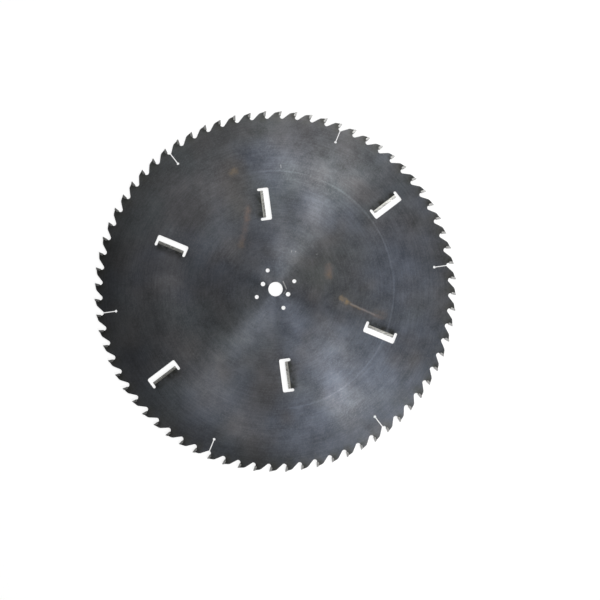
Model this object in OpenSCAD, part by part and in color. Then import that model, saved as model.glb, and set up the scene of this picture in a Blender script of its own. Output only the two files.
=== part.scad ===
// Carbide-tipped circular saw blade with expansion slots and brazed wiper strips.
// The blade lies flat. Z is its axis, the origin is the bore centre at mid-thickness,
// +X runs through the first expansion slot, and seen from +Z the teeth cut clockwise.

/* [Plate] */
// Diameter over the carbide tips
blade_d = 800; // [720:1:900]
// Thickness of the steel plate
plate_t = 4; // [3:0.1:6]
// Diameter of the arbor bore
bore_d = 32; // [20:0.5:40]
// Edge broken on both sides of the bore
bore_break = 0.4; // [0.2:0.1:0.8]

/* [Pin holes] */
// Diameter of the inner pin holes
inner_pin_d = 10; // [6:0.5:12]
// Pitch circle of the inner pin holes
inner_pin_pcd = 60; // [54:1:68]
// Number of inner pin holes
inner_pin_count = 2; // [2:1:4]
// Angle from the first expansion slot to the first inner pin hole
inner_pin_lead = 150; // [0:1:180]
// Diameter of the outer pin holes
outer_pin_d = 9; // [6:0.5:12]
// Pitch circle of the outer pin holes
outer_pin_pcd = 90; // [84:1:140]
// Number of outer pin holes
outer_pin_count = 4; // [2:1:6]
// Angle from the first expansion slot to the first outer pin hole
outer_pin_lead = 15; // [0:1:90]

/* [Teeth] */
// Number of teeth between one expansion slot and the next
teeth_per_sector = 12; // [8:2:12]
// Lean of the cutting face from the radius
hook_angle = 12; // [6:0.5:18]
// Fall of the top behind the cutting edge
top_relief = 13; // [8:0.5:16]
// How far the steel land stays below the line of the tip's top
land_drop = 0.9; // [0.4:0.1:1.6]
// Distance from the cutting edge back to the heel
heel_l = 15.5; // [12:0.5:18]
// Length taken off each side of the heel corner
heel_break = 1.8; // [0.5:0.1:3]
// How far the steel wall stands back from the carbide face
face_setback = 1.3; // [0.6:0.1:2]
// Straight steel wall between the tip's seat and the gullet's curve
seat_wall = 0.8; // [0.2:0.1:3]
// Radius of the gullet
gullet_r = 5.2; // [4:0.1:6.5]

/* [Carbide tips] */
// Length of a tip along its cutting face
tip_l = 11; // [8:0.5:13]
// Thickness of a tip behind its cutting face
tip_t = 4.5; // [3:0.1:5.5]
// How far a tip stands proud of the plate on each side
tip_overhang = 0.8; // [0.6:0.05:1.4]
// Corner taken off the tip's inner back edge
tip_corner = 1.2; // [0.5:0.1:2]
// Alternate bevel across the tip's top
top_bevel = 10; // [5:0.5:15]
// Narrowing of a tip towards the bore, on each side
side_taper_in = 1; // [0.5:0.1:1.5]
// Narrowing of a tip towards its back, on each side
side_taper_back = 2; // [1:0.1:3]

/* [Solder] */
// Thickness of the silver solder under the carbide
solder_t = 0.2; // [0.1:0.05:0.4]
// Width of the solder bead in the chamfered edges behind a wiper
bead_w = 2; // [1:0.1:3]
// Depth of that bead
bead_depth = 0.4; // [0.2:0.05:0.8]

/* [Expansion slots] */
// Number of expansion slots, and of sectors between them
slot_count = 6; // [3:1:6]
// Width of an expansion slot
slot_w = 2.1; // [1:0.1:3]
// Distance from the tip circle in to the slot's end hole
slot_depth = 44.7; // [35:0.1:52]
// Diameter of the slot's end hole
slot_end_d = 6; // [4:0.1:8]

/* [Wipers] */
// Angle from an expansion slot to the next wiper's face
wiper_lead = 29.5; // [20:0.5:36]
// Distance from the tip circle in to the middle of the outer wipers
wiper_depth = 91.5; // [84:0.5:110]
// Step in radius from the outer wipers to the mid ones, and on to the inner ones
wiper_step = 58.5; // [40:0.5:62]
// Length of a wiper strip
wiper_l = 60; // [45:0.5:66]
// Width of a wiper strip, from its face to its back
wiper_w = 4; // [3:0.1:6]
// How far a wiper stands proud of the plate on each side
wiper_overhang = 0.6; // [0.4:0.05:1.2]
// Corner taken off both ends of a wiper's face
wiper_end_break = 0.8; // [0.3:0.1:1.5]
// Clear opening of the window in front of a wiper
window_open = 12.4; // [8:0.1:18]
// Corner radius of the window
window_r = 4; // [2:0.1:6]
// Width of the relief notches at both ends of a wiper
notch_w = 6.7; // [4:0.1:9]
// Reach of the relief notches behind the wiper's face
notch_reach = 12.7; // [10:0.1:18]

/* [Hidden] */
$fn = 48;
// How far cutting bodies run past what they cut
cut_margin = 6;
// How far the gullet's curve is cut past the straight walls that run into it
gullet_overcut = 0.02;

tip_r = blade_d / 2;
kerf = plate_t + 2 * tip_overhang;
wiper_thick = plate_t + 2 * wiper_overhang;
sector = 360 / slot_count;
tooth_count = teeth_per_sector * slot_count;
tooth_pitch = 360 / tooth_count;
pair_count = tooth_count / 2;
pairs_per_sector = teeth_per_sector / 2;
slot_end_r = tip_r - slot_depth;
tongue_x = -wiper_w - solder_t;

// Tooth outline. The tooth's frame has its cutting edge at the top of the blade, on +Y,
// and cuts towards +X. The tip's frame has its origin on the cutting edge and its Y axis
// along the cutting face.
function turned(p, angle) = [
    p.x * cos(angle) - p.y * sin(angle),
    p.x * sin(angle) + p.y * cos(angle)
];
function from_tip(p) = [0, tip_r] + turned(p, -hook_angle);
function heading(angle) = [cos(angle), sin(angle)];
// The corner break of the tip's outline moved out by grow, at the same distance all round
function grown_corner(grow) = tip_corner + grow * (2 - sqrt(2));

seat_back = -tip_t - solder_t;
seat_floor = -tip_l - solder_t;
seat_corner = grown_corner(solder_t);
wall_end = seat_floor - seat_wall;
gullet_in_tip = [gullet_r - face_setback, wall_end];
gullet_c = from_tip(gullet_in_tip);
gullet_lead = atan2(gullet_c.x, gullet_c.y);

// The steel land falls from land_drop below the cutting edge to the heel.
land_fall = tan(top_relief);
seat_top = (seat_back * (cos(hook_angle) * land_fall + sin(hook_angle)) - land_drop)
    / (cos(hook_angle) - sin(hook_angle) * land_fall);
heel = [-heel_l, tip_r - land_drop - heel_l * land_fall];
heel_on_land = heel + heel_break * heading(top_relief);
land_run_out = heel - cut_margin * heading(top_relief);

// The back of the tooth in front runs from its heel down to the gullet, along a tangent.
front_heel = turned(heel, -tooth_pitch);
to_gullet = gullet_c - front_heel;
back_heading = atan2(to_gullet.y, to_gullet.x) + asin(gullet_r / norm(to_gullet));
back_l = sqrt(norm(to_gullet) ^ 2 - gullet_r ^ 2);
back_start = front_heel + heel_break * heading(back_heading);
back_end = front_heel + back_l * heading(back_heading);
heel_break_out = 2 * turned(heel_on_land, -tooth_pitch) - back_start;

function tooth_angle(k) = gullet_lead - 90 + k * tooth_pitch;
function wiper_angle(i) = wiper_lead + (i - 1) * sector;
// Wipers lie far out, far in and midway, in turn.
function wiper_r(i) = tip_r - wiper_depth - wiper_step * [0, 2, 1][(i - 1) % 3];

function two_digits(n) = n < 10 ? str("0", n) : str(n);
function pair_name(p) = str("tip_pair_", two_digits(p));
function tip_solder_name(s) = str("tip_solder_", s);
function wiper_name(i) = str("wiper_", i);
function wiper_solder_name(i) = str("wiper_solder_", i);

steel_colour = [0.29, 0.30, 0.32];
carbide_colour = [0.56, 0.56, 0.55];
solder_colour = [0.76, 0.73, 0.66];

// Half-spaces, as blocks that end at a plane through the origin.
block = 5 * max(tip_l, wiper_l);
module below_z() {
    translate([-block / 2, -block / 2, -block]) cube(block);
}
module below_y() {
    translate([-block / 2, -block, -block / 2]) cube(block);
}

// Everything between two side planes that stand half_w from the mid-plane at the origin
// and close in towards -Y and -X.
module between_sides(half_w, taper_in, taper_back) {
    lean = [atan(tan(taper_in) * cos(taper_back)), -taper_back, 0];
    intersection() {
        translate([0, 0, half_w]) rotate(lean) below_z();
        mirror([0, 0, 1]) translate([0, 0, half_w]) rotate(lean) below_z();
    }
}

// A tip's side view, or with grow its seat: a block without its inner back corner.
module tip_outline(grow, front, top) {
    back = -tip_t - grow;
    floor_y = -tip_l - grow;
    corner = grown_corner(grow);
    polygon([
        [front, floor_y],
        [front, top],
        [back, top],
        [back, floor_y + corner],
        [back + corner, floor_y]
    ]);
}

module at_tooth(k) {
    rotate([0, 0, tooth_angle(k)]) translate([0, tip_r, 0]) rotate([0, 0, -hook_angle]) children();
}

module at_wiper(i) {
    rotate([0, 0, wiper_angle(i) - 90]) translate([0, wiper_r(i), 0]) children();
}

// A cross-section with X ahead of the wiper and Y along the blade's axis, drawn out along
// the wiper's length.
module along_wiper(length) {
    translate([0, length / 2, 0]) rotate([90, 0, 0]) linear_extrude(length) children();
}

// What is cut from the blank for one tooth: the gullet before it, its seat and its land.
module tooth_gap() {
    polygon([
        from_tip([-face_setback, wall_end]),
        from_tip([-face_setback, seat_floor]),
        from_tip([seat_back + seat_corner, seat_floor]),
        from_tip([seat_back, seat_floor + seat_corner]),
        from_tip([seat_back, seat_top]),
        land_run_out,
        [land_run_out.x, tip_r + cut_margin],
        [heel_break_out.x, tip_r + cut_margin],
        heel_break_out,
        back_start,
        back_end,
        gullet_c
    ]);
    translate(gullet_c) circle(gullet_r + gullet_overcut);
}

// An expansion slot, from the bottom of a gullet in to its end hole.
module expansion_slot() {
    translate([slot_end_r, -slot_w / 2]) square([norm(gullet_c) - slot_end_r, slot_w]);
    translate([slot_end_r, 0]) circle(d = slot_end_d);
}

// A wiper's window. The wiper's face is at X = 0, the clear opening lies on +X, and two
// notches run back past the tongue that carries the strip.
module wiper_window() {
    half_l = wiper_l / 2 + notch_w;
    translate([tongue_x, -half_l])
        square([window_open - window_r - tongue_x, 2 * half_l]);
    translate([tongue_x, window_r - half_l])
        square([window_open - tongue_x, 2 * (half_l - window_r)]);
    for (end = [-1, 1]) {
        translate([window_open - window_r, end * (half_l - window_r)]) circle(window_r);
        translate([notch_w / 2 - notch_reach, end * (half_l - notch_w / 2)]) {
            translate([0, -notch_w / 2]) square([notch_reach - notch_w / 2, notch_w]);
            circle(d = notch_w);
        }
    }
}

module pin_holes(d, pcd, count, lead) {
    for (n = [0:count - 1])
        rotate(lead + n * 360 / count) translate([pcd / 2, 0]) circle(d = d);
}

// The wedge that chamfers a wiper tongue's edge on the +Z face, for its solder bead.
module bead_chamfer() {
    half_t = plate_t / 2;
    high = half_t + bead_depth / 2;
    along_wiper(wiper_l + notch_w) polygon([
        [tongue_x - 1.5 * bead_w, high],
        [tongue_x + bead_w / 2, half_t - 1.5 * bead_depth],
        [tongue_x + bead_w / 2, high]
    ]);
}

// The cone that breaks the bore's edge on the +Z face.
module bore_edge() {
    low_r = bore_d / 2 - bore_break;
    translate([0, 0, plate_t / 2 - 2 * bore_break])
        cylinder(h = 4 * bore_break, r1 = low_r, r2 = low_r + 4 * bore_break);
}

module saw_plate() {
    color(steel_colour) difference() {
        linear_extrude(plate_t, center = true) difference() {
            circle(tip_r);
            circle(d = bore_d);
            pin_holes(inner_pin_d, inner_pin_pcd, inner_pin_count, inner_pin_lead);
            pin_holes(outer_pin_d, outer_pin_pcd, outer_pin_count, outer_pin_lead);
            for (k = [0:tooth_count - 1]) rotate(tooth_angle(k)) tooth_gap();
            for (s = [0:slot_count - 1]) rotate(s * sector) expansion_slot();
            for (i = [1:slot_count]) at_wiper(i) wiper_window();
        }
        for (side = [0, 1]) mirror([0, 0, side]) {
            bore_edge();
            for (i = [1:slot_count]) at_wiper(i) bead_chamfer();
        }
    }
}

// One tip in its own frame. high_side is 1 where the bevel rises towards +Z, and -1
// where it rises towards -Z.
module carbide_tip(high_side) {
    top_angle = top_relief + hook_angle;
    bevel_turn = -high_side * atan(tan(top_bevel) * cos(top_angle));
    intersection() {
        linear_extrude(2 * kerf, center = true) tip_outline(0, 0, cut_margin);
        between_sides(kerf / 2, side_taper_in, side_taper_back);
        translate([0, -kerf / 2 * tan(top_bevel), 0]) rotate([bevel_turn, 0, top_angle]) below_y();
    }
}

// Two neighbouring tips, with their bevels to opposite sides.
module tip_pair(p) {
    color(carbide_colour) {
        at_tooth(2 * p - 2) carbide_tip(-1);
        at_tooth(2 * p - 1) carbide_tip(1);
    }
}

// The solder behind and under every tip of one sector.
module tip_solder(s) {
    color(solder_colour)
        for (k = [0:teeth_per_sector - 1])
            at_tooth((s - 1) * teeth_per_sector + k)
                linear_extrude(plate_t, center = true) difference() {
                    tip_outline(solder_t, -face_setback, seat_top);
                    tip_outline(0, cut_margin, cut_margin);
                }
}

module wiper(i) {
    half_l = wiper_l / 2;
    color(carbide_colour) at_wiper(i) intersection() {
        linear_extrude(2 * wiper_thick, center = true) polygon([
            [0, wiper_end_break - half_l],
            [0, half_l - wiper_end_break],
            [-wiper_end_break, half_l],
            [-wiper_w, half_l],
            [-wiper_w, -half_l],
            [-wiper_end_break, -half_l]
        ]);
        between_sides(wiper_thick / 2, 0, side_taper_back);
    }
}

// The solder of one wiper: a seam as thick as the plate, and a bead in the chamfer on both
// faces, flush with the plate.
module wiper_solder(i) {
    half_t = plate_t / 2;
    upper = [[-wiper_w, half_t], [tongue_x - bead_w, half_t], [tongue_x, half_t - bead_depth]];
    lower = [for (n = [len(upper) - 1:-1:0]) [upper[n].x, -upper[n].y]];
    color(solder_colour) at_wiper(i) along_wiper(wiper_l) polygon(concat(upper, lower));
}

saw_plate();
for (p = [1:pair_count]) tip_pair(p);
for (s = [1:slot_count]) tip_solder(s);
for (i = [1:slot_count]) wiper(i);
for (i = [1:slot_count]) wiper_solder(i);
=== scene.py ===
import math

import bpy
from mathutils import Matrix, Vector


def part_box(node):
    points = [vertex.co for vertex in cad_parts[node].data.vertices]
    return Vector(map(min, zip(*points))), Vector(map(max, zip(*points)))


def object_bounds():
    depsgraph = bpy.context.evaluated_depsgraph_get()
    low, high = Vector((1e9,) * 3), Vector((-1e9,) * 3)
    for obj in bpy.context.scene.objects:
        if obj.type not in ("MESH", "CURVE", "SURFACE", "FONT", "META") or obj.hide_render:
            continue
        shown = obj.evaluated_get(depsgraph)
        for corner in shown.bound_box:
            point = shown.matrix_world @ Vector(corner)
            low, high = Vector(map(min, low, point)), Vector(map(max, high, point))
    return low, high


bl_info = {
    "name": "Saw blade finishes",
    "version": (1, 0, 0),
    "blender": (4, 5, 0),
    "location": "View3D > Sidebar > Saw blade",
    "description": "Gives a carbide-tipped saw blade its ground steel, carbide and solder, and a studio",
    "category": "Material",
}

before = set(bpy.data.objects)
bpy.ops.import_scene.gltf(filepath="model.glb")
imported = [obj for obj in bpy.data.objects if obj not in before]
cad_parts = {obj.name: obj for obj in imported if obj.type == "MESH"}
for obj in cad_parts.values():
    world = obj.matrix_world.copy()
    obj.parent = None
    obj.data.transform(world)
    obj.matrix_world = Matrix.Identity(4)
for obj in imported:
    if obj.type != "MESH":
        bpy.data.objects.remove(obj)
CAD_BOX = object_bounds()

MM = 0.001
PLATE = "saw_plate"


def nodes_named(prefix):
    """Names of the frame's nodes that are a prefix and a number."""
    return sorted(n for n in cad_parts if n.startswith(prefix) and n[len(prefix):].isdigit())


TIP_PAIRS = nodes_named("tip_pair_")
WIPERS = nodes_named("wiper_")
SOLDER_SEAMS = nodes_named("tip_solder_") + nodes_named("wiper_solder_")

TOOTH_PITCH = math.tau / (2 * len(TIP_PAIRS))
TIP_CORNER = max((v.co.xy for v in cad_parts[TIP_PAIRS[0]].data.vertices), key=lambda p: p.length)
TIP_RADIUS = TIP_CORNER.length
TOOTH_LEAD = math.atan2(TIP_CORNER.y, TIP_CORNER.x)

# Marks on the plate's face, in millimetres from the bore centre: start, end, half width, strength
RUST_MARKS = (
    ((142, -40), (153, -51), 10.0, 1.0),
    ((121, 16), (121, 12), 10.0, 0.4),
    ((150, -48), (180, -70), 5.0, 0.45),
    ((214, -82), (226, -92), 13.0, 0.2),
    ((-61, 271), (-54, 274), 13.0, 0.55),
    ((-61, 111), (-62, 106), 9.0, 0.25),
)
STAIN_MARKS = (
    ((123, 33), (121, 14), 15.0, 0.8),
    ((-37, 187), (-42, 162), 11.0, 0.9),
    ((-42, 162), (-62, 108), 12.0, 0.45),
    ((152, -58), (215, -92), 16.0, 0.2),
    ((160, -56), (222, -95), 5.0, 0.7),
    ((228, -82), (232, -88), 11.0, 0.3),
)
BRIGHT_MARKS = (
    ((19, 14), (24, -3), 2.1, 1.0),
    ((22, -7), (17, -12), 2.0, 0.5),
    ((46, 77), (47, 79), 2.4, 0.4),
    ((55, 76), (56, 77), 2.2, 0.4),
    ((49, 273), (49, 267), 2.0, 0.4),
    ((100, 64), (103, 64), 2.0, 0.3),
    ((160, -55), (208, -86), 3.5, 0.14),
)
WARM_ZONES = (
    ((118, 0), (208, -80), 72.0, 1.0),
    ((-50, 285), (-68, 95), 45.0, 0.6),
    ((70, 40), (180, 75), 115.0, 0.35),
    ((-55, -85), (-160, -130), 105.0, 0.4),
)
BLUE_ZONES = (
    ((-10, 60), (-55, 130), 80.0, 0.22),
    ((-20, 300), (80, 310), 80.0, 0.16),
    ((-20, -290), (20, -300), 90.0, 0.18),
)
# Soft strokes of handling polish and oxide dulling, and of painted sheen and painted shade, by how far
# the tone changes: start, end and half width in millimetres
POLISH_AND_SHEEN, RUB_AND_SHEEN, FADE_AND_SHADE, DULL_AND_SHADE = 0.30, 0.15, -0.18, -0.30
SHEEN_AND_WEAR_STROKES = {
    POLISH_AND_SHEEN: (
        ((110, -110), (100, -260), 50),
        ((100, -260), (140, -280), 55),
        ((-40, -60), (-130, -120), 45),
        ((-180, -190), (-120, -290), 75),
        ((-210, 150), (-230, 50), 45),
        ((-230, 50), (-200, -110), 50),
    ),
    RUB_AND_SHEEN: (
        ((-130, -120), (-180, -190), 50),
        ((-190, 180), (-110, 250), 45),
        ((110, -50), (200, -140), 45),
        ((350, -120), (320, -190), 50),
        ((20, 60), (110, 180), 45),
        ((40, 260), (150, 210), 50),
        ((40, 0), (70, -10), 40),
        ((-150, 110), (-150, 130), 45),
        ((-100, -300), (-20, -320), 50),
        ((-30, 330), (40, 330), 45),
    ),
    FADE_AND_SHADE: (
        ((-290, -30), (-320, -100), 75),
        ((-320, -100), (-270, -260), 70),
        ((-230, -290), (-100, -350), 65),
        ((110, -350), (180, -310), 60),
        ((310, 70), (350, 20), 75),
        ((60, -70), (70, -100), 55),
        ((240, 170), (270, 170), 70),
        ((-50, -160), (-60, -220), 65),
        ((-130, 20), (-130, -40), 65),
    ),
    DULL_AND_SHADE: (
        ((90, 340), (230, 280), 75),
        ((-350, 130), (-380, -20), 65),
        ((-50, 70), (-40, 120), 60),
        ((60, 140), (60, 190), 65),
        ((-170, 190), (-160, 200), 60),
    ),
}
# How noise makes those strokes and marks uneven: its scale per metre and how far it reaches
SHEEN_AND_WEAR_RUFFLE = (25.0, 12.0 * MM)
MARK_RUFFLE = (130.0, 5.0 * MM)
RUFFLE_DETAIL = 3.0
NOISE_MIDDLE = (0.5, 0.5, 0.5)
# The strokes and marks end at mid-thickness, over this distance either way
FACE_FADE = 0.5 * MM
# How far a full mark of rust or stain hides the metal
MARK_COVER = 0.8

# Noise: scale per metre, detail, roughness
CLOUDS = (22.0, 5.0, 0.6)
STEEL_GRAIN = (300.0, 3.0, 0.6)
SOOT = (80.0, 3.0, 0.6)
BLOTCHES = (230.0, 3.0, 0.65)
CUT_STRIPES = (900.0, 2.0, 0.6)
CARBIDE_GRAIN = (900.0, 3.0, 0.6)
PITCH_FILM = (160.0, 3.0, 0.6)
SOLDER_RUNS = (220.0, 3.0, 0.55)
# Noise drawn out along circles round the bore: cells per radian and per metre outward, detail, roughness
SWIRLS = (1.6, 15.0, 4.0, 0.6)
GRINDING_LINES = (4.0, 300.0, 3.0, 0.6)
ROLLER_WEAR = (2.5, 30.0, 3.0, 0.6)
# Noise drawn out along fine handling scratches: their direction, cells per metre along and across
RUBBING = (math.radians(55), 45.0, 600.0)
# Noise drawn out along a wiper: cells per metre along and across
CHIP_STREAKS = (30.0, 420.0)
# Noise of the oxide films: scale per metre, and the shifts that give two films their own patterns
BLUE_SCALE, TEAL_SCALE, STRAW_SCALE = 6.0, 7.0, 8.0
TEAL_SHIFT = (7.0, 2.0, 0.0)
STRAW_SHIFT = (3.0, 1.0, 0.0)
# How the blue film gathers toward one side of the plate, per metre
BLUE_LEAN = (0.28, -0.36, 0.0)
# What the swirls add to the clouds' dullness, as a share of the whole
SWIRL_SHARE = 0.3
# Share of a point's height in the noise of a cut wall's stripes, so that they run through the plate
STRIPE_HEIGHT = 0.05

# How a pattern shows: the noise where it starts and where it is full, then its share at both, which
# is 0 and 1 where it isn't given
TEAL_SHOWS = (0.35, 0.70)
BLUE_SHOWS = (0.325, 0.725)
STRAW_SHOWS = (0.48, 0.80)
DULLNESS_SHOWS = (0.24, 0.76)
LINES_SHOW = (0.35, 0.65, 0.0, 0.28)
RUBBING_SHOWS = (0.55, 0.75, 0.0, 0.15)
STEEL_GRAIN_SHOWS = (0.42, 0.68, 0.0, 0.15)
HEAT_SHOWS = (0.3, 0.6, 0.4, 1.0)
SOOT_SHOWS = (0.3, 0.65, 0.4, 1.0)
BLOTCHES_SHOW = (0.32, 0.6, 0.3, 1.0)
ROLLER_WEAR_SHOWS = (0.35, 0.6, 0.7, 1.0)
STRIPES_SHOW = (0.35, 0.65)
PITCH_SHOWS = (0.35, 0.65, 0.0, 0.6)
CARBIDE_GRAIN_SHOWS = (0.45, 0.7, 0.0, 0.5)
DARK_STREAKS_SHOW = (0.36, 0.50, 0.75, 0.0)
PALE_STREAKS_SHOW = (0.50, 0.64, 0.0, 0.75)
SOLDER_RUNS_SHOW = (0.4, 0.68, 0.0, 0.7)
# The same for the dark rim, by radius, for the side of the roller's ring that gets the painted highlight,
# by X in metres, and for the wall of a cut, by how upright its normal is
DARK_RIM_SHOWS = (0.75 * TIP_RADIUS, 0.96 * TIP_RADIUS, 0.0, 0.3)
RING_LIT_SIDE_SHOWS = (-0.1, 0.05, 0.2, 1.0)
WALL_SHOWS = (0.7, 0.3)

# Middle of a tip's seat, behind the tip's corner and below it
SEAT_BACK = 6.5 * MM
SEAT_DEPTH = 8.0 * MM
# Steel that brazing warmed and scorched round a seat: how far it reaches, where it is full, its share
WARMED_SEAT = (26.0 * MM, 6.0 * MM, 0.5)
SCORCHED_SEAT = (11.0 * MM, 3.0 * MM, 0.55)
# Steel that brazing scorched on a wiper's tongue: how far it reaches and where it is full, along the
# wiper from its middle, and from the wiper's line backward and forward, and its share
TONGUE_ALONG = (38.0 * MM, 25.0 * MM)
TONGUE_BACK = (-24.0 * MM, -8.0 * MM)
TONGUE_FRONT = (2.0 * MM, 0.0)
TONGUE_SCORCH = 0.85
# Middle of the ring that the tensioning roller left, in millimetres
ROLLER_MIDDLE = (-2.0, 0.4)

# How far noise lowers and raises a finish's roughness
STEEL_SPREAD = (-0.06, 0.06)
CARBIDE_SPREAD = (-0.05, 0.07)
SOLDER_SPREAD = (-0.06, 0.09)
# Relief of a finish: strength and distance
STEEL_RELIEF = (0.12, 0.2 * MM)
CARBIDE_RELIEF = (0.08, 0.1 * MM)
SOLDER_RELIEF = (0.25, 0.3 * MM)
# Height of the steel's grain beside that of its grinding lines
GRAIN_HEIGHT = 0.5
# Share of a turn between the grinding lines and the way in which they draw highlights out
HIGHLIGHT_TURN = 0.25
# How much darker or paler than the carbide and the solder their patterns are
PITCH_SHADE, GRAIN_SHADE = 0.62, 1.25
DARK_STREAK_SHADE, PALE_STREAK_SHADE = 0.3, 2.1
SOLDER_RUN_SHADE = 0.55
CARBIDE_METALLIC = 0.85

# Camera and lamps are placed in a frame that is turned about the blade's axis, so that Y is
# the picture's upright.
PICTURE_TURN = math.radians(7.9)
# Soft lamps, aimed at the bore: azimuth and elevation in the picture's frame in degrees, power in
# watts, diameter in metres
LAMPS = (
    (315, 32, 55, 1.5),
    (0, 50, 16, 1.5),
    (45, 50, 15, 1.5),
    (80, 50, 22, 1.0),
    (60, 15, 22, 0.7),
    (105, 32, 8, 1.5),
    (290, 50, 14, 1.0),
)
# Distance of the lamps from the bore, and the camera's place and aim in the picture's frame, in
# millimetres. The width of the camera's sensor is in millimetres too.
LAMP_DISTANCE = 2400
CAMERA_PLACE = (50.0, -82.4, 1325.8)
CAMERA_AIM = (54.1, -24.2, 2.0)
SENSOR_WIDTH = 36.0
# Strength of the white world, which the camera sees at full strength
WORLD_LIGHT = 0.08
# Side of the square floor, and how far from the bore its own shade starts to fade and is gone, in metres
FLOOR_SPAN = 12.0
FLOOR_FADE = (0.55, 1.3)


def in_picture(x, y, z):
    """A point given in the picture's turned frame, in millimetres, as a place in metres."""
    return Matrix.Rotation(-PICTURE_TURN, 3, "Z") @ Vector((x, y, z)) * MM


def colour_setting(name, description, default):
    return bpy.props.FloatVectorProperty(
        name=name, description=description, subtype="COLOR", size=3, min=0.0, max=1.0, default=default)


def share_setting(name, description, default):
    return bpy.props.FloatProperty(
        name=name, description=description, subtype="FACTOR", min=0.0, max=1.0, default=default)


def length_setting(name, description, default):
    return bpy.props.FloatProperty(
        name=name, description=description, unit="LENGTH", min=0.0, precision=5, default=default)


class PlateLook(bpy.types.PropertyGroup):
    """Finish of the ground steel plate."""
    # Darker than bare steel: partly oil and oxide, partly a painted dark reflection of the surroundings
    steel: colour_setting("Steel", "Colour of the ground steel", (0.151, 0.150, 0.158))
    blue: colour_setting(
        "Blue film", "Colour where an oxide film tints the steel blue", (0.134, 0.150, 0.186))
    teal: colour_setting(
        "Teal film", "Colour where an oxide film tints the steel teal", (0.138, 0.153, 0.163))
    straw: colour_setting(
        "Straw film", "Colour where an oxide film tints the steel straw", (0.154, 0.149, 0.154))
    dull: colour_setting("Dullness", "Filter where cloudy oxide dulls the steel", (0.48, 0.48, 0.48))
    rust: colour_setting("Rust", "Colour of the rust marks", (0.150, 0.108, 0.062))
    stain: colour_setting("Stains", "Colour of the red-brown stains", (0.104, 0.076, 0.066))
    halo: colour_setting("Warm zones", "Filter of the steel round the marks", (1.00, 0.965, 0.88))
    warm: colour_setting("Warm tint", "Colour of the steel that brazing warmed", (0.074, 0.074, 0.066))
    scorch: colour_setting("Scorch", "Colour of the steel that brazing overheated", (0.028, 0.028, 0.023))
    rub: colour_setting(
        "Rubbed steel", "Colour where something rubbed the steel bright", (0.24, 0.25, 0.27))
    scratch: colour_setting("Bright scratches", "Colour of fresh scratches and specks", (0.46, 0.46, 0.46))
    cut_edge: colour_setting("Cut edge", "Colour of the walls of cuts and holes", (0.16, 0.16, 0.165))
    roughness: share_setting("Roughness", "Roughness across the grinding lines", 0.42)
    anisotropy: share_setting("Grinding", "How strongly the circular grinding draws highlights out", 0.91)
    ring_radius: length_setting("Roller ring", "Radius of the ring left by the tensioning roller", 0.2638)
    ring_width: length_setting("Ring width", "Width of that ring", 0.0075)
    # The roller's ring is painted brighter by this share, as a highlight
    ring_painted_highlight: share_setting("Ring shine", "How much brighter than the steel that ring is", 0.34)


class CarbideLook(bpy.types.PropertyGroup):
    """Finish of the brazed carbide."""
    tip: colour_setting("Tips", "Colour of the carbide tips", (0.24, 0.24, 0.235))
    wiper: colour_setting("Wipers", "Colour of the wiper strips", (0.32, 0.32, 0.305))
    roughness: share_setting("Roughness", "Roughness of the ground carbide", 0.38)


class SolderLook(bpy.types.PropertyGroup):
    """Finish of the silver solder."""
    silver: colour_setting("Silver", "Colour of the cleaned solder", (0.50, 0.495, 0.455))
    roughness: share_setting("Roughness", "Roughness of the solder", 0.34)


class StudioLook(bpy.types.PropertyGroup):
    """Floor and camera."""
    floor: colour_setting("Floor", "Colour of the floor", (0.93, 0.93, 0.93))
    shadow: share_setting("Shadow", "How much of the floor's own light and shade shows", 0.18)
    lens: bpy.props.FloatProperty(
        name="Lens", description="Focal length of the camera, on a 36 mm sensor", min=10.0, default=36.0)


class SawBladeSettings(bpy.types.PropertyGroup):
    """Everything that the panel shows."""
    plate: bpy.props.PointerProperty(type=PlateLook)
    carbide: bpy.props.PointerProperty(type=CarbideLook)
    solder: bpy.props.PointerProperty(type=SolderLook)
    studio: bpy.props.PointerProperty(type=StudioLook)


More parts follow.
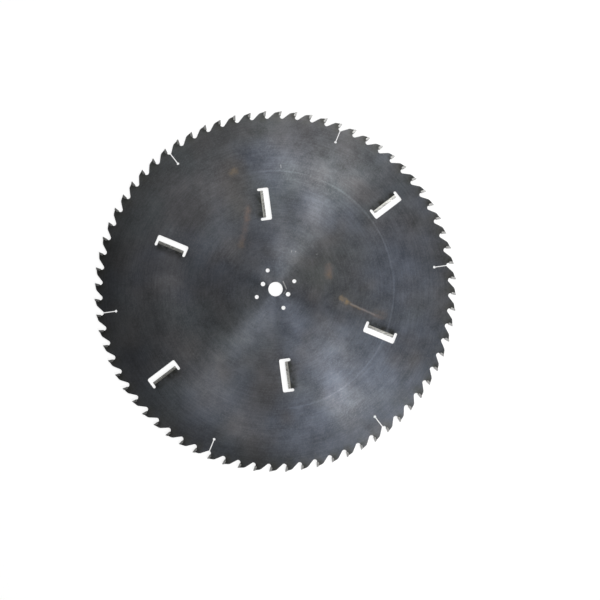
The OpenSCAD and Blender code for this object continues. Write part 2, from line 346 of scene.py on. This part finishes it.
class Shading:
    """A material's node tree. Unless it says otherwise, each method adds nodes, takes sockets or
    plain values, and returns the socket that holds its result."""

    def __init__(self, name):
        self.material = bpy.data.materials.new(name)
        self.material.use_nodes = True
        self.tree = self.material.node_tree
        self.tree.nodes.clear()
        self.place = self.node("ShaderNodeTexCoord").outputs["Object"]

    def node(self, kind, settings=None, inputs=None):
        """The node itself, with its settings and inputs."""
        made = self.tree.nodes.new(kind)
        for key, value in (settings or {}).items():
            setattr(made, key, value)
        for key, value in (inputs or {}).items():
            self.feed(made.inputs[key], value)
        return made

    def feed(self, socket, value):
        """Links a socket to the given one, or sets it to a plain value."""
        if isinstance(value, bpy.types.NodeSocket):
            self.tree.links.new(value, socket)
        elif socket.type == "RGBA" and len(value) == 3:
            socket.default_value = (*value, 1.0)
        else:
            socket.default_value = value

    def math(self, operation, *values):
        return self.node("ShaderNodeMath", {"operation": operation}, dict(enumerate(values))).outputs[0]

    def vector(self, operation, *values):
        made = self.node("ShaderNodeVectorMath", {"operation": operation}, dict(enumerate(values)))
        return made.outputs["Value" if operation in ("DOT_PRODUCT", "LENGTH") else "Vector"]

    def step(self, value, low, high, start=0.0, end=1.0):
        """A smooth step from start to end as value goes from low to high."""
        made = self.node("ShaderNodeMapRange", {"interpolation_type": "SMOOTHSTEP"}, {
            "Value": value, "From Min": low, "From Max": high, "To Min": start, "To Max": end})
        return made.outputs["Result"]

    def spread(self, middle, low, high, noise):
        """A plain value, moved by low where noise is 0 and by high where it is 1."""
        return self.math("MULTIPLY_ADD", noise, high - low, middle + low)

    def mix(self, share, first, second, blend="MIX"):
        """Two colours, mixed. Inputs 6 and 7 and output 2 are the node's sockets for colours."""
        made = self.node("ShaderNodeMix", {"data_type": "RGBA", "blend_type": blend}, {
            0: share, 6: first, 7: second})
        return made.outputs[2]

    def scale(self, colour, factor, share=1.0):
        """A colour times a factor, as far as share says."""
        return self.mix(share, colour, self.join(factor, factor, factor), "MULTIPLY")

    def noise(self, place, scale, detail=2.0, roughness=0.5):
        made = self.node("ShaderNodeTexNoise", None, {
            "Vector": place, "Scale": scale, "Detail": detail, "Roughness": roughness})
        return made.outputs["Fac"]

    def split(self, vector):
        """The sockets of a vector's X, Y and Z."""
        made = self.node("ShaderNodeSeparateXYZ", None, {"Vector": vector})
        return made.outputs["X"], made.outputs["Y"], made.outputs["Z"]

    def join(self, x, y, z):
        return self.node("ShaderNodeCombineXYZ", None, {"X": x, "Y": y, "Z": z}).outputs["Vector"]

    def product(self, first, *others):
        for other in others:
            first = self.math("MULTIPLY", first, other)
        return first

    def bump(self, height, strength, distance):
        made = self.node("ShaderNodeBump", None, {
            "Height": height, "Strength": strength, "Distance": distance})
        return made.outputs["Normal"]

    def surface(self, inputs):
        """Ends the tree, and returns the material."""
        shader = self.node("ShaderNodeBsdfPrincipled", None, inputs)
        self.node("ShaderNodeOutputMaterial", None, {"Surface": shader.outputs["BSDF"]})
        return self.material


class BladePlaces(Shading):
    """Shading that knows where a point lies on the blade."""

    def __init__(self, name):
        super().__init__(name)
        self.x, self.y, self.z = self.split(self.place)
        self.flat = self.join(self.x, self.y, 0.0)
        self.radius = self.vector("LENGTH", self.flat)
        self.angle = self.math("ARCTAN2", self.y, self.x)

    def circling_noise(self, per_radian, per_metre, detail, roughness):
        """Noise drawn out along circles round the bore, with no seam."""
        across = self.math("MULTIPLY", self.math("COSINE", self.angle), per_radian)
        along = self.math("MULTIPLY", self.math("SINE", self.angle), per_radian)
        out = self.math("MULTIPLY", self.radius, per_metre)
        return self.noise(self.join(across, along, out), 1.0, detail, roughness)

    def straight_noise(self, direction, along, across):
        """Noise drawn out in one direction over the whole plate."""
        rotate = self.node("ShaderNodeVectorRotate", {"rotation_type": "Z_AXIS"}, {
            "Vector": self.flat, "Angle": -direction})
        return self.noise(self.vector("MULTIPLY", rotate.outputs["Vector"], (along, across, 0.0)), 1.0)

    def ruffled(self, scale, reach):
        """Flat places that noise of that scale moves by up to that reach, for uneven strokes."""
        noise = self.node("ShaderNodeTexNoise", None, {
            "Vector": self.place, "Scale": scale, "Detail": RUFFLE_DETAIL})
        off = self.vector("SUBTRACT", noise.outputs["Color"], NOISE_MIDDLE)
        moved = self.vector("MULTIPLY", off, (2 * reach, 2 * reach, 0.0))
        return self.vector("ADD", self.flat, moved)

    def stroke(self, place, start, end, half_width):
        """1 where place is on the line from start to end, falling to 0 at half_width beside it."""
        origin = Vector((*start, 0.0)) * MM
        run = Vector((*end, 0.0)) * MM - origin
        offset = self.vector("SUBTRACT", place, origin)
        along = self.math("DIVIDE", self.vector("DOT_PRODUCT", offset, run), run.length_squared)
        share = self.node("ShaderNodeClamp", None, {"Value": along}).outputs["Result"]
        scaled = self.node("ShaderNodeVectorMath", {"operation": "SCALE"}, {0: run, "Scale": share})
        apart = self.vector("LENGTH", self.vector("SUBTRACT", offset, scaled.outputs["Vector"]))
        return self.step(apart, half_width * MM, 0.0)

    def ring(self, middle, radius, width):
        """1 on a circle, falling to 0 at half of width beside it."""
        out = self.vector("LENGTH", self.vector("SUBTRACT", self.flat, Vector((*middle, 0.0)) * MM))
        apart = self.math("ABSOLUTE", self.math("SUBTRACT", out, radius))
        return self.step(apart, width / 2, 0.0)

    def round_seats(self, reach, core, share):
        """A share on the steel within core of the middle of a tip's seat, falling to 0 at reach."""
        turned = self.math("SUBTRACT", self.angle, TOOTH_LEAD)
        in_pitch = self.math("FLOORED_MODULO", turned, TOOTH_PITCH)
        back = self.math("SUBTRACT", self.math("MULTIPLY", in_pitch, TIP_RADIUS), SEAT_BACK)
        depth = self.math("SUBTRACT", self.radius, TIP_RADIUS - SEAT_DEPTH)
        apart = self.vector("LENGTH", self.join(back, depth, 0.0))
        return self.math("MULTIPLY", self.step(apart, reach, core), share)

    def behind_wiper_pair(self, name):
        """1 on the tongue behind a wiper and behind the one across the bore from it, 0 elsewhere."""
        low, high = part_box(name)
        middle = (low + high).xy / 2
        outward = Vector((*middle.normalized(), 0.0))
        forward = Vector((outward.y, -outward.x, 0.0))
        out = self.vector("DOT_PRODUCT", self.flat, outward)
        beside = self.vector("DOT_PRODUCT", self.flat, forward)
        ahead = self.math("MULTIPLY", beside, self.math("SIGN", out))
        from_middle = self.math("SUBTRACT", self.math("ABSOLUTE", out), middle.length)
        along = self.step(self.math("ABSOLUTE", from_middle), *TONGUE_ALONG)
        return self.product(along, self.step(ahead, *TONGUE_BACK), self.step(ahead, *TONGUE_FRONT))


class PlateSteel(BladePlaces):
    """The plate's ground steel. Each method takes the colour so far and adds one more trace of how
    the plate was made and used; two of them also paint sheen, shade and a highlight."""

    def __init__(self, look):
        super().__init__("ground_steel")
        self.look = look
        self.cloud = self.noise(self.place, *CLOUDS)
        self.lines = self.circling_noise(*GRINDING_LINES)
        self.grain = self.noise(self.place, *STEEL_GRAIN)
        self.front = self.step(self.z, -FACE_FADE, FACE_FADE)

    def oxide_films(self, colour):
        """Thin films that tint the steel teal, blue and straw."""
        teal = self.noise(self.vector("ADD", self.place, TEAL_SHIFT), TEAL_SCALE)
        straw = self.noise(self.vector("ADD", self.place, STRAW_SHIFT), STRAW_SCALE)
        lean = self.vector("DOT_PRODUCT", self.flat, BLUE_LEAN)
        blue = self.math("ADD", self.noise(self.place, BLUE_SCALE), lean)
        for *line, strength in BLUE_ZONES:
            blue = self.math("MULTIPLY_ADD", self.stroke(self.flat, *line), strength, blue)
        colour = self.mix(self.step(teal, *TEAL_SHOWS), colour, self.look.teal)
        colour = self.mix(self.step(blue, *BLUE_SHOWS), colour, self.look.blue)
        return self.mix(self.step(straw, *STRAW_SHOWS), colour, self.look.straw)

    def dull_clouds(self, colour):
        """Cloudy oxide, and shade in the grinding lines."""
        swirls = self.math("MULTIPLY", self.circling_noise(*SWIRLS), SWIRL_SHARE)
        dullness = self.math("MULTIPLY_ADD", self.cloud, 1.0 - SWIRL_SHARE, swirls)
        colour = self.mix(self.step(dullness, *DULLNESS_SHOWS), colour, self.look.dull, "MULTIPLY")
        return self.mix(self.step(self.lines, *LINES_SHOW), colour, self.look.dull, "MULTIPLY")

    def rubbing(self, colour):
        """Fine handling scratches and a bright grain."""
        rubbed = self.straight_noise(*RUBBING)
        colour = self.mix(self.step(rubbed, *RUBBING_SHOWS), colour, self.look.rub)
        return self.mix(self.step(self.grain, *STEEL_GRAIN_SHOWS), colour, self.look.rub)

    def brazing_heat(self, colour):
        """A dark rim, warm steel round the seats, and scorched seats and tongues."""
        colour = self.mix(self.step(self.radius, *DARK_RIM_SHOWS), colour, self.look.scorch)
        uneven = self.step(self.cloud, *HEAT_SHOWS)
        colour = self.mix(self.product(self.round_seats(*WARMED_SEAT), uneven), colour, self.look.warm)
        tongues = 0.0
        # The second half of the wipers lie across the bore from the first
        for name in WIPERS[:len(WIPERS) // 2]:
            tongues = self.math("MAXIMUM", tongues, self.behind_wiper_pair(name))
        tongues = self.math("MULTIPLY", tongues, TONGUE_SCORCH)
        scorched = self.math("MAXIMUM", self.round_seats(*SCORCHED_SEAT), tongues)
        soot = self.step(self.noise(self.place, *SOOT), *SOOT_SHOWS)
        return self.mix(self.product(scorched, soot), colour, self.look.scorch)

    def sheen_and_wear(self, colour):
        """Strokes of wear and oxide that also paint sheen and shade, and warm zones round the marks."""
        place = self.ruffled(*SHEEN_AND_WEAR_RUFFLE)
        tone = 1.0
        # Each stroke raises or lowers the tone: handling wear and oxide, and also painted sheen and
        # painted shade
        for change, strokes in SHEEN_AND_WEAR_STROKES.items():
            for line in strokes:
                tone = self.math("MULTIPLY_ADD", self.stroke(place, *line), change, tone)
        colour = self.scale(colour, tone, self.front)
        for *line, strength in WARM_ZONES:
            zone = self.product(self.stroke(place, *line), strength, self.front)
            colour = self.mix(zone, colour, self.look.halo, "MULTIPLY")
        return colour

    def rust_and_stains(self, colour):
        """Rust and red-brown stains. Returns the colour, and how far the marks cover the steel."""
        place = self.ruffled(*MARK_RUFFLE)
        blotches = self.step(self.noise(self.place, *BLOTCHES), *BLOTCHES_SHOW)
        blotched = self.product(blotches, self.front)
        covered = 0.0
        for marks, tint in ((STAIN_MARKS, self.look.stain), (RUST_MARKS, self.look.rust)):
            for *line, strength in marks:
                mark = self.product(self.stroke(place, *line), blotched, strength)
                colour = self.mix(mark, colour, tint)
                covered = self.math("MAXIMUM", covered, mark)
        return colour, covered

    def roller_ring_highlight(self, colour):
        """The ring that the tensioning roller left, painted brighter as a highlight that is full on one
        side.
        """
        worn = self.step(self.circling_noise(*ROLLER_WEAR), *ROLLER_WEAR_SHOWS)
        # The painted highlight on the ring is full toward +X and faint toward -X, by how the light falls
        lit_side = self.step(self.x, *RING_LIT_SIDE_SHOWS)
        ring = self.ring(ROLLER_MIDDLE, self.look.ring_radius, self.look.ring_width)
        lit_ring = self.product(ring, worn, lit_side)
        return self.scale(colour, self.math("MULTIPLY_ADD", lit_ring, self.look.ring_painted_highlight, 1.0))

    def bright_scratches(self, colour):
        """Fresh scratches and specks."""
        for *line, strength in BRIGHT_MARKS:
            mark = self.product(self.stroke(self.flat, *line), strength, self.front)
            colour = self.mix(mark, colour, self.look.scratch)
        return colour

    def cut_walls(self, colour):
        """The walls of cuts and holes, striped through the plate."""
        upright = self.split(self.node("ShaderNodeNewGeometry").outputs["Normal"])[2]
        wall = self.step(self.math("ABSOLUTE", upright), *WALL_SHOWS)
        place = self.join(self.x, self.y, self.math("MULTIPLY", self.z, STRIPE_HEIGHT))
        stripes = self.step(self.noise(place, *CUT_STRIPES), *STRIPES_SHOW)
        edge = self.mix(stripes, self.look.cut_edge, self.look.dull, "MULTIPLY")
        return self.mix(wall, colour, edge)


def ground_steel(look):
    """Circular ground tool steel, dulled by age, with rust stains, scorched seats and rub marks, and
    with painted sheen, shade and a painted highlight on the roller's ring.
    """
    s = PlateSteel(look)
    colour = look.steel
    for trace in (s.oxide_films, s.dull_clouds, s.rubbing, s.brazing_heat, s.sheen_and_wear):
        colour = trace(colour)
    colour, covered = s.rust_and_stains(colour)
    for trace in (s.roller_ring_highlight, s.bright_scratches, s.cut_walls):
        colour = trace(colour)
    tangent = s.node("ShaderNodeTangent", {"direction_type": "RADIAL", "axis": "Z"}).outputs["Tangent"]
    height = s.math("MULTIPLY_ADD", s.grain, GRAIN_HEIGHT, s.lines)
    return s.surface({
        "Base Color": colour,
        "Metallic": s.math("MULTIPLY_ADD", covered, -MARK_COVER, 1.0),
        "Roughness": s.spread(look.roughness, *STEEL_SPREAD, s.cloud),
        "Anisotropic": look.anisotropy,
        "Anisotropic Rotation": HIGHLIGHT_TURN,
        "Tangent": tangent,
        "Normal": s.bump(height, *STEEL_RELIEF),
    })


def shaded(colour, factor):
    """A plain colour made darker or paler."""
    return tuple(factor * part for part in colour)


def chip_streaks(s, base, colour):
    """The colour so far, with dark and pale streaks where chips ran along a wiper."""
    along, across = CHIP_STREAKS
    place = s.join(s.math("MULTIPLY", s.radius, along), s.product(s.angle, s.radius, across), 0.0)
    streak = s.noise(place, 1.0)
    colour = s.mix(s.step(streak, *DARK_STREAKS_SHOW), colour, shaded(base, DARK_STREAK_SHADE))
    return s.mix(s.step(streak, *PALE_STREAKS_SHOW), colour, shaded(base, PALE_STREAK_SHADE))


def carbide(name, base, roughness, streaked=False):
    """Sintered carbide, ground on all sides, with a fine grain and a little pitch left on it."""
    s = BladePlaces(name)
    grain = s.noise(s.place, *CARBIDE_GRAIN)
    pitch = s.noise(s.place, *PITCH_FILM)
    colour = s.mix(s.step(pitch, *PITCH_SHOWS), base, shaded(base, PITCH_SHADE))
    colour = s.mix(s.step(grain, *CARBIDE_GRAIN_SHOWS), colour, shaded(base, GRAIN_SHADE))
    if streaked:
        colour = chip_streaks(s, base, colour)
    return s.surface({
        "Base Color": colour,
        "Metallic": CARBIDE_METALLIC,
        "Roughness": s.spread(roughness, *CARBIDE_SPREAD, pitch),
        "Normal": s.bump(grain, *CARBIDE_RELIEF),
    })


def silver_solder(look):
    """Cleaned silver solder with a few flux-darkened spots."""
    s = Shading("silver_solder")
    runs = s.noise(s.place, *SOLDER_RUNS)
    dark = shaded(look.silver, SOLDER_RUN_SHADE)
    return s.surface({
        "Base Color": s.mix(s.step(runs, *SOLDER_RUNS_SHOW), look.silver, dark),
        "Metallic": 1.0,
        "Roughness": s.spread(look.roughness, *SOLDER_SPREAD, runs),
        "Normal": s.bump(runs, *SOLDER_RELIEF),
    })


def studio_floor(look):
    """A pale floor that is plain white to the camera and in reflections, and keeps a soft shadow."""
    s = Shading("studio_floor")
    path = s.node("ShaderNodeLightPath")
    seen = s.math("MAXIMUM", path.outputs["Is Camera Ray"], path.outputs["Is Glossy Ray"])
    seen = s.math("MAXIMUM", seen, path.outputs["Is Transmission Ray"])
    lit = s.node("ShaderNodeBsdfDiffuse", None, {"Color": look.floor})
    white = s.node("ShaderNodeEmission", None, {"Color": (1.0, 1.0, 1.0), "Strength": 1.0})
    plain = s.step(s.vector("LENGTH", s.place), *FLOOR_FADE, 1.0 - look.shadow, 1.0)
    both = s.node("ShaderNodeMixShader", None, {
        0: s.math("MULTIPLY", seen, plain), 1: lit.outputs["BSDF"], 2: white.outputs["Emission"]})
    s.node("ShaderNodeOutputMaterial", None, {"Surface": both.outputs["Shader"]})
    return s.material


def give(names, material):
    """Puts one material on every slot of the named nodes."""
    for name in names:
        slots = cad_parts[name].material_slots
        if not slots:
            raise RuntimeError(f"{name} has no material slot")
        for slot in slots:
            slot.material = material


def settings():
    return bpy.context.scene.saw_blade


class SAWBLADE_OT_dress_plate(bpy.types.Operator):
    """Gives the plate its ground steel"""
    bl_idname = "sawblade.dress_plate"
    bl_label = "Dress the plate"

    def execute(self, context):
        give([PLATE], ground_steel(settings().plate))
        return {"FINISHED"}


class SAWBLADE_OT_dress_carbide(bpy.types.Operator):
    """Gives the tips and the wipers their carbide"""
    bl_idname = "sawblade.dress_carbide"
    bl_label = "Dress the carbide"

    def execute(self, context):
        look = settings().carbide
        give(TIP_PAIRS, carbide("tip_carbide", look.tip, look.roughness))
        give(WIPERS, carbide("wiper_carbide", look.wiper, look.roughness, streaked=True))
        return {"FINISHED"}


class SAWBLADE_OT_dress_solder(bpy.types.Operator):
    """Gives the seams their silver solder"""
    bl_idname = "sawblade.dress_solder"
    bl_label = "Dress the solder"

    def execute(self, context):
        give(SOLDER_SEAMS, silver_solder(settings().solder))
        return {"FINISHED"}


def add_floor(look):
    """A square floor under the blade's lowest point."""
    half = FLOOR_SPAN / 2
    low = CAD_BOX[0][2]
    mesh = bpy.data.meshes.new("studio_floor")
    corners = [(-half, -half, low), (half, -half, low), (half, half, low), (-half, half, low)]
    mesh.from_pydata(corners, [], [(0, 1, 2, 3)])
    mesh.materials.append(studio_floor(look))
    floor = bpy.data.objects.new("studio_floor", mesh)
    bpy.context.scene.collection.objects.link(floor)


def add_lamp(name, azimuth, elevation, power, size):
    """A round lamp that is aimed at the bore."""
    light = bpy.data.lights.new(name, "AREA")
    light.shape = "DISK"
    light.size = size
    light.energy = power
    lamp = bpy.data.objects.new(name, light)
    turn, rise = math.radians(azimuth), math.radians(elevation)
    out = LAMP_DISTANCE * math.cos(rise)
    lamp.location = in_picture(out * math.cos(turn), out * math.sin(turn), LAMP_DISTANCE * math.sin(rise))
    lamp.rotation_euler = (-lamp.location).to_track_quat("-Z", "Y").to_euler()
    bpy.context.scene.collection.objects.link(lamp)


def add_camera(lens):
    """The camera at the photograph's place, upright in the picture's frame."""
    data = bpy.data.cameras.new("photo_camera")
    data.lens = lens
    data.sensor_width = SENSOR_WIDTH
    camera = bpy.data.objects.new("photo_camera", data)
    place = in_picture(*CAMERA_PLACE)
    back = (place - in_picture(*CAMERA_AIM)).normalized()
    right = in_picture(0, 1, 0).cross(back).normalized()
    up = back.cross(right)
    camera.matrix_world = Matrix.Translation(place) @ Matrix((right, up, back)).transposed().to_4x4()
    bpy.context.scene.collection.objects.link(camera)
    bpy.context.scene.camera = camera


def add_world():
    """A world that is white to the camera and lights the blade only a little."""
    world = bpy.data.worlds.new("studio")
    world.use_nodes = True
    tree = world.node_tree
    tree.nodes.clear()
    path = tree.nodes.new("ShaderNodeLightPath")
    strength = tree.nodes.new("ShaderNodeMapRange")
    strength.inputs["To Min"].default_value = WORLD_LIGHT
    strength.inputs["To Max"].default_value = 1.0
    tree.links.new(path.outputs["Is Camera Ray"], strength.inputs["Value"])
    background = tree.nodes.new("ShaderNodeBackground")
    tree.links.new(strength.outputs["Result"], background.inputs["Strength"])
    background.inputs["Color"].default_value = (1.0, 1.0, 1.0, 1.0)
    output = tree.nodes.new("ShaderNodeOutputWorld")
    tree.links.new(background.outputs["Background"], output.inputs["Surface"])
    bpy.context.scene.world = world


class SAWBLADE_OT_build_studio(bpy.types.Operator):
    """Adds the floor, the lamps, the world and the camera"""
    bl_idname = "sawblade.build_studio"
    bl_label = "Build the studio"

    def execute(self, context):
        look = settings().studio
        add_floor(look)
        for number, lamp in enumerate(LAMPS, 1):
            add_lamp(f"soft_lamp_{number}", *lamp)
        add_world()
        add_camera(look.lens)
        context.scene.view_settings.view_transform = "Standard"
        return {"FINISHED"}


class SAWBLADE_PT_finishes(bpy.types.Panel):
    """Lists the steps and the settings they use"""
    bl_idname = "SAWBLADE_PT_finishes"
    bl_label = "Saw blade"
    bl_space_type = "VIEW_3D"
    bl_region_type = "UI"
    bl_category = "Saw blade"

    def draw(self, context):
        blade = settings()
        for group, step in (
            (blade.plate, SAWBLADE_OT_dress_plate),
            (blade.carbide, SAWBLADE_OT_dress_carbide),
            (blade.solder, SAWBLADE_OT_dress_solder),
            (blade.studio, SAWBLADE_OT_build_studio),
        ):
            box = self.layout.box()
            for key in group.bl_rna.properties.keys():
                if key not in ("rna_type", "name"):
                    box.prop(group, key)
            box.operator(step.bl_idname)


CLASSES = (
    PlateLook,
    CarbideLook,
    SolderLook,
    StudioLook,
    SawBladeSettings,
    SAWBLADE_OT_dress_plate,
    SAWBLADE_OT_dress_carbide,
    SAWBLADE_OT_dress_solder,
    SAWBLADE_OT_build_studio,
    SAWBLADE_PT_finishes,
)


def register():
    for cls in CLASSES:
        bpy.utils.register_class(cls)
    bpy.types.Scene.saw_blade = bpy.props.PointerProperty(type=SawBladeSettings)


def unregister():
    del bpy.types.Scene.saw_blade
    for cls in reversed(CLASSES):
        bpy.utils.unregister_class(cls)


def main():
    register()
    bpy.ops.sawblade.build_studio()
    bpy.ops.sawblade.dress_plate()
    bpy.ops.sawblade.dress_carbide()
    bpy.ops.sawblade.dress_solder()


if __name__ == "__main__":
    main()
